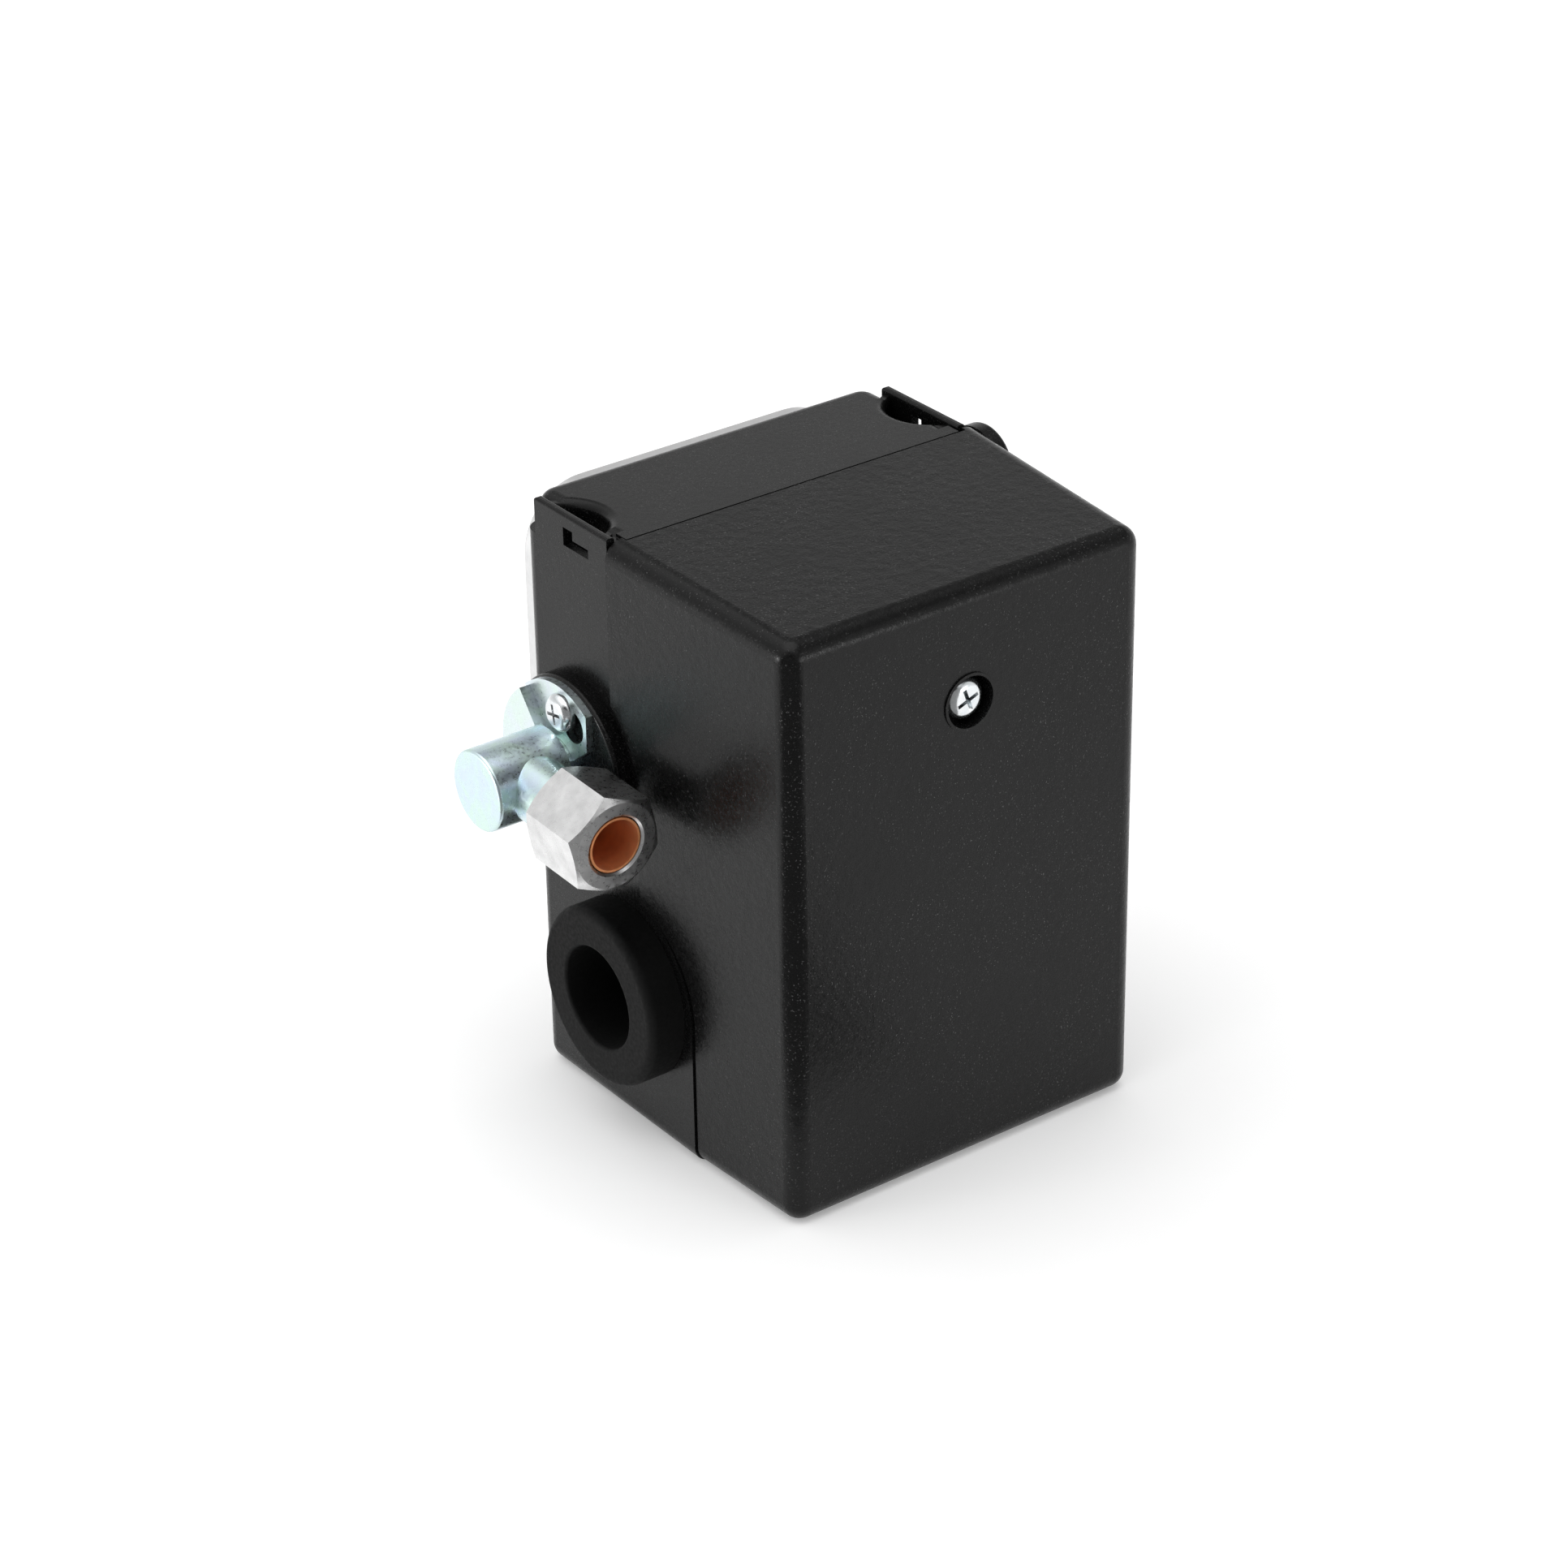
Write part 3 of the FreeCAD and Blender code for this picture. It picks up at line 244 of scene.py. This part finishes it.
class Look:
    """One procedural material: a Principled shader and the nodes that feed it."""

    def __init__(self, name, roughness, metallic=0.0, **settings):
        self.material = bpy.data.materials.new(name)
        self.material.use_nodes = True
        self.nodes = self.material.node_tree.nodes
        self.links = self.material.node_tree.links
        self.shader = self.nodes["Principled BSDF"]
        self.shader.inputs["Roughness"].default_value = roughness
        self.shader.inputs["Metallic"].default_value = metallic
        for socket, value in settings.items():
            self.shader.inputs[socket.replace("_", " ")].default_value = value
        self.place = self.add("ShaderNodeTexCoord").outputs["Object"]

    def add(self, kind, inputs=None, **attributes):
        node = self.nodes.new(kind)
        for attribute, value in attributes.items():
            setattr(node, attribute, value)
        for socket, value in (inputs or {}).items():
            if isinstance(value, bpy.types.NodeSocket):
                self.links.new(value, node.inputs[socket])
            else:
                node.inputs[socket].default_value = value
        return node

    def noise(self, size, detail=2.0, offset=(0, 0, 0), distortion=0.0):
        """Noise whose grains are about size metres across."""
        mapping = self.add("ShaderNodeMapping", {"Vector": self.place, "Location": offset})
        node = self.add("ShaderNodeTexNoise", {"Vector": mapping.outputs[0], "Scale": 1 / size,
                                               "Detail": detail, "Distortion": distortion})
        return node.outputs["Fac"]

    def span(self, value, low, high, to_low=0.0, to_high=1.0):
        node = self.add("ShaderNodeMapRange", {"Value": value, "From Min": low, "From Max": high,
                                               "To Min": to_low, "To Max": to_high})
        return node.outputs["Result"]

    def vary(self, noise, low=0.0, high=1.0):
        """Runs from low to high with a noise."""
        return self.span(noise, *NOISE_RANGE, low, high)

    def product(self, a, b):
        return self.add("ShaderNodeMath", {0: a, 1: b}, operation="MULTIPLY").outputs[0]

    def blend(self, amount, first, second):
        """A mix of two colours, each a tuple or a socket."""
        node = self.add("ShaderNodeMix", data_type="RGBA")
        for socket, value in (("Factor", amount), ("A", first), ("B", second)):
            slot = [s for s in node.inputs if s.name == socket and s.enabled][0]
            if isinstance(value, bpy.types.NodeSocket):
                self.links.new(value, slot)
            else:
                slot.default_value = (*value, 1)
        return [s for s in node.outputs if s.enabled][0]

    def colour(self, value):
        self.links.new(value, self.shader.inputs["Base Color"])

    def roughness(self, value):
        self.links.new(value, self.shader.inputs["Roughness"])

    def relief(self, *layers):
        """Bump layers, each (height socket, depth in metres)."""
        normal = None
        for height, depth in layers:
            bump = self.add("ShaderNodeBump", {"Height": height, "Distance": depth, "Strength": 1.0})
            if normal is not None:
                self.links.new(normal, bump.inputs["Normal"])
            normal = bump.outputs["Normal"]
        self.links.new(normal, self.shader.inputs["Normal"])


PAINTED_GLINT_TONE = 16               # a painted glint's colour on a raised speck, in times the plastic's own
SPECK_HEIGHT = 0.06 * MM
SCRATCH = 0.004 * MM          # depth of the fine marks in metal


def darker(tint, share):
    return tuple(share * channel for channel in tint)


def moulded(name, tone, roughness, grain, depth, gloss):
    """Black moulded plastic with a spark-eroded grain and patches of raised spots, whose pale colour is a
    painted glint.
    """
    look = Look(name, roughness, Specular_IOR_Level=gloss)
    fine = look.noise(grain, 3)
    patches = look.span(look.noise(11 * MM, 2, offset=(0.7, 0.4, 0.6)), 0.35, 0.62)
    specks_and_painted_glints = look.span(look.noise(0.9 * grain, 1, offset=(0.3, 0.1, 0.2)), 0.66, 0.74)
    specks_and_painted_glints = look.product(specks_and_painted_glints, patches)
    tint = look.blend(look.noise(9 * MM, 3), grey(0.7 * tone), grey(1.3 * tone))
    # the pale colour on the raised specks is a painted glint; their bump below is real relief
    look.colour(look.blend(specks_and_painted_glints, tint, grey(PAINTED_GLINT_TONE * tone)))
    look.roughness(look.vary(look.noise(2.2 * grain, 2), roughness - 0.06, roughness + 0.08))
    look.relief((look.noise(5 * grain, 2), 2 * depth), (fine, depth), (specks_and_painted_glints, SPECK_HEIGHT))
    return look.material


def rubber(name, tone):
    look = Look(name, 0.7, Specular_IOR_Level=0.14)
    look.colour(look.blend(look.noise(4 * MM, 3), grey(0.8 * tone), grey(1.25 * tone)))
    look.roughness(look.vary(look.noise(0.6 * MM, 3), 0.62, 0.8))
    look.relief((look.noise(0.25 * MM, 3), 0.012 * MM))
    return look.material


def plated(name, first, second, roughness):
    """Bright zinc plate: two tints in soft patches over fine marks."""
    look = Look(name, roughness, 1.0)
    patches = look.span(look.noise(3.2 * MM, 4, distortion=0.6), 0.35, 0.65)
    look.colour(look.blend(patches, first, second))
    look.roughness(look.vary(look.noise(0.5 * MM, 4), roughness - 0.06, roughness + 0.1))
    look.relief((look.noise(1.1 * MM, 3), 2.5 * SCRATCH), (look.noise(0.16 * MM, 3), SCRATCH))
    return look.material


def metal(name, tint, roughness, bare=1.0):
    """Turned or drawn metal; less than fully bare, it has a dull film on it."""
    look = Look(name, roughness, bare)
    look.colour(look.blend(look.vary(look.noise(2.5 * MM, 4)), darker(tint, 0.8), tint))
    look.roughness(look.vary(look.noise(0.7 * MM, 4), 0.8 * roughness, 1.25 * roughness))
    look.relief((look.noise(0.2 * MM, 3), SCRATCH))
    return look.material


def cast(name, tint):
    look = Look(name, 0.42, 1.0)
    look.colour(look.blend(look.noise(1.5 * MM, 4), darker(tint, 0.85), tint))
    look.roughness(look.vary(look.noise(0.5 * MM, 3), 0.34, 0.52))
    look.relief((look.noise(1.0 * MM, 3), 0.03 * MM), (look.noise(0.25 * MM, 2), 0.01 * MM))
    return look.material


def plastic(name, tint, roughness):
    look = Look(name, roughness)
    look.colour(look.blend(look.noise(5 * MM, 3), darker(tint, 0.88), tint))
    look.roughness(look.vary(look.noise(0.8 * MM, 3), roughness - 0.05, roughness + 0.08))
    look.relief((look.noise(0.4 * MM, 2), 0.006 * MM))
    return look.material


LOOKS = {
    "cover_plastic": moulded("cover_plastic", 0.0045, 0.25, 0.34 * MM, 0.03 * MM, 0.2),
    "base_plastic": moulded("base_plastic", 0.0045, 0.25, 0.22 * MM, 0.008 * MM, 0.2),
    "mechanism_plastic": plastic("mechanism_plastic", (0.72, 0.70, 0.62), 0.4),
    "phenolic": plastic("phenolic", (0.06, 0.035, 0.025), 0.35),
    "bushing_rubber": rubber("bushing_rubber", 0.005),
    "diaphragm_rubber": rubber("diaphragm_rubber", 0.03),
    "poppet_rubber": rubber("poppet_rubber", 0.03),
    "cast_aluminium": cast("cast_aluminium", (0.75, 0.75, 0.75)),
    "nut_aluminium": metal("nut_aluminium", (0.80, 0.80, 0.80), 0.30),
    "zinc_screws": plated("zinc_screws", (0.80, 0.82, 0.83), (0.70, 0.74, 0.76), 0.16),
    "ground_zinc": plated("ground_zinc", (0.30, 0.55, 0.28), (0.45, 0.62, 0.30), 0.22),
    "zinc_sheet": plated("zinc_sheet", (0.70, 0.82, 0.77), (0.72, 0.79, 0.83), 0.30),
    "valve_zinc": plated("valve_zinc", (0.66, 0.83, 0.77), (0.66, 0.77, 0.88), 0.30),
    "turned_steel": metal("turned_steel", (0.62, 0.62, 0.62), 0.25),
    "spring_steel": metal("spring_steel", (0.50, 0.51, 0.52), 0.28),
    "brass": metal("brass", (0.80, 0.60, 0.28), 0.24),
    "silver": metal("silver", (0.90, 0.89, 0.86), 0.2),
    "copper": metal("copper", (0.98, 0.40, 0.17), 0.36, bare=0.6),
}


def dress_nodes():
    for name, node in NODES.items():
        node.data.materials.clear()
        node.data.materials.append(LOOKS[SLOT_OF[name]])


def add_piece(name, mesh, slot):
    """A new piece from a bmesh, which it uses up, with the look of a material slot."""
    data = bpy.data.meshes.new(name)
    bmesh.ops.recalc_face_normals(mesh, faces=mesh.faces)
    mesh.to_mesh(data)
    mesh.free()
    data.materials.append(LOOKS[slot])
    piece = bpy.data.objects.new(name, data)
    bpy.context.scene.collection.objects.link(piece)
    return piece


# ---------------------------------------------------------------- screw threads
THREADED_SCREWS = (           # node, where its thread starts along Y, shank radius, core radius, pitch
    ("cover_screw", -26.5 * MM, 2.0 * MM, 1.6 * MM, 0.7 * MM),
    ("range_screw", -19.9 * MM, 3.0 * MM, 2.5 * MM, 1.0 * MM),
)
SHANK_SLACK = 0.02 * MM       # how far a shank's vertex may be from the shank's radius
TURN_STEPS = 40
RUN_OUT = 12                  # steps over which a thread fades in and out
RIDGE_HALF = 0.42             # half the width of a thread's foot, in pitches
RIDGE_SINK = 0.05 * MM        # how deep a thread's foot sits in the metal
PORT_RADIUS = 5.7 * MM
PORT_PITCH = 1.41 * MM
PORT_THREAD_DEPTH = 0.6 * MM
PORT_THREAD_START = 1.6 * MM  # both counted from the port's mouth
PORT_THREAD_END = 12 * MM


def add_thread(mesh, centre, start, end, root, crest, pitch):
    """A right-hand ridge of triangular section round a line along Y, from root to crest radius."""
    steps = int(TURN_STEPS * (end - start) / pitch)
    half = RIDGE_HALF * pitch
    rings = []
    for step in range(steps + 1):
        angle = math.tau * step / TURN_STEPS
        fade = min(1.0, (step + 1) / RUN_OUT, (steps + 1 - step) / RUN_OUT)
        along = start + pitch * step / TURN_STEPS
        section = ((root, -half * fade), (root + (crest - root) * fade, 0.0), (root, half * fade))
        rings.append([mesh.verts.new((centre.x + radius * math.sin(angle), along + offset,
                                      centre.z + radius * math.cos(angle))) for radius, offset in section])
    for ring, following in zip(rings, rings[1:]):
        for corner in range(3):
            beyond = (corner + 1) % 3
            mesh.faces.new((ring[corner], following[corner], following[beyond], ring[beyond]))
    mesh.faces.new(reversed(rings[0]))
    mesh.faces.new(rings[-1])


def thread_screw(node, start, shank, core, pitch):
    """Cuts a screw's plain shank down to its core and winds the thread on it."""
    low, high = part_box(node)
    centre = (low + high) / 2
    mesh = bmesh.new()
    mesh.from_mesh(NODES[node].data)
    for vert in mesh.verts:
        out = Vector((vert.co.x - centre.x, 0, vert.co.z - centre.z))
        if vert.co.y > start and abs(out.length - shank) < SHANK_SLACK:
            vert.co -= out * (1 - core / shank)
    add_thread(mesh, centre, start + 0.5 * pitch, high.y - 0.5 * pitch, core - RIDGE_SINK, shank, pitch)
    piece = add_piece(f"{node}_threaded", mesh, SLOT_OF[node])
    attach(piece, node)
    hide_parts(node)


def thread_port():
    """The pipe thread just inside the mouth of the pressure port."""
    low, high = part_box("pressure_flange")
    mesh = bmesh.new()
    add_thread(mesh, (low + high) / 2, high.y - PORT_THREAD_END, high.y - PORT_THREAD_START,
               PORT_RADIUS + RIDGE_SINK, PORT_RADIUS - PORT_THREAD_DEPTH, PORT_PITCH)
    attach(add_piece("port_thread", mesh, SLOT_OF["pressure_flange"]), "housing")


# ---------------------------------------------------------------- springs
SPRING_WELD = 0.001 * MM      # vertices nearer than this are one
SPRING_SMOOTH = 40.0          # degrees between faces above which an edge stays sharp


def add_spring(name, node, keeps=None):
    """A coil spring piece; keeps, if given, is a plane's (place, outward)
    and leaves only the stretch behind that plane."""
    mesh = bmesh.new()
    mesh.from_mesh(NODES[node].data)
    bmesh.ops.remove_doubles(mesh, verts=mesh.verts, dist=SPRING_WELD)
    if keeps is not None:
        place, outward = keeps
        everything = [*mesh.verts, *mesh.edges, *mesh.faces]
        bmesh.ops.bisect_plane(mesh, geom=everything, plane_co=place, plane_no=outward, clear_outer=True)
        bmesh.ops.holes_fill(mesh, edges=[edge for edge in mesh.edges if edge.is_boundary])
    piece = add_piece(name, mesh, SLOT_OF[node])
    piece.data.shade_smooth()
    piece.data.set_sharp_from_angle(angle=math.radians(SPRING_SMOOTH))
    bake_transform(piece)
    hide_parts(node)


def add_springs():
    low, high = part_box("range_spring")
    middle = (low + high) / 2
    add_spring("range_spring_front", "range_spring",
               keeps=(middle, Vector((0, 1, 0))))
    add_spring("range_spring_rear", "range_spring",
               keeps=(middle, Vector((0, -1, 0))))
    low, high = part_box("unloader_spring")
    add_spring("unloader_spring_coil", "unloader_spring")


make_camera()
make_studio()
dress_nodes()
for screw in THREADED_SCREWS:
    thread_screw(*screw)
thread_port()
add_springs()
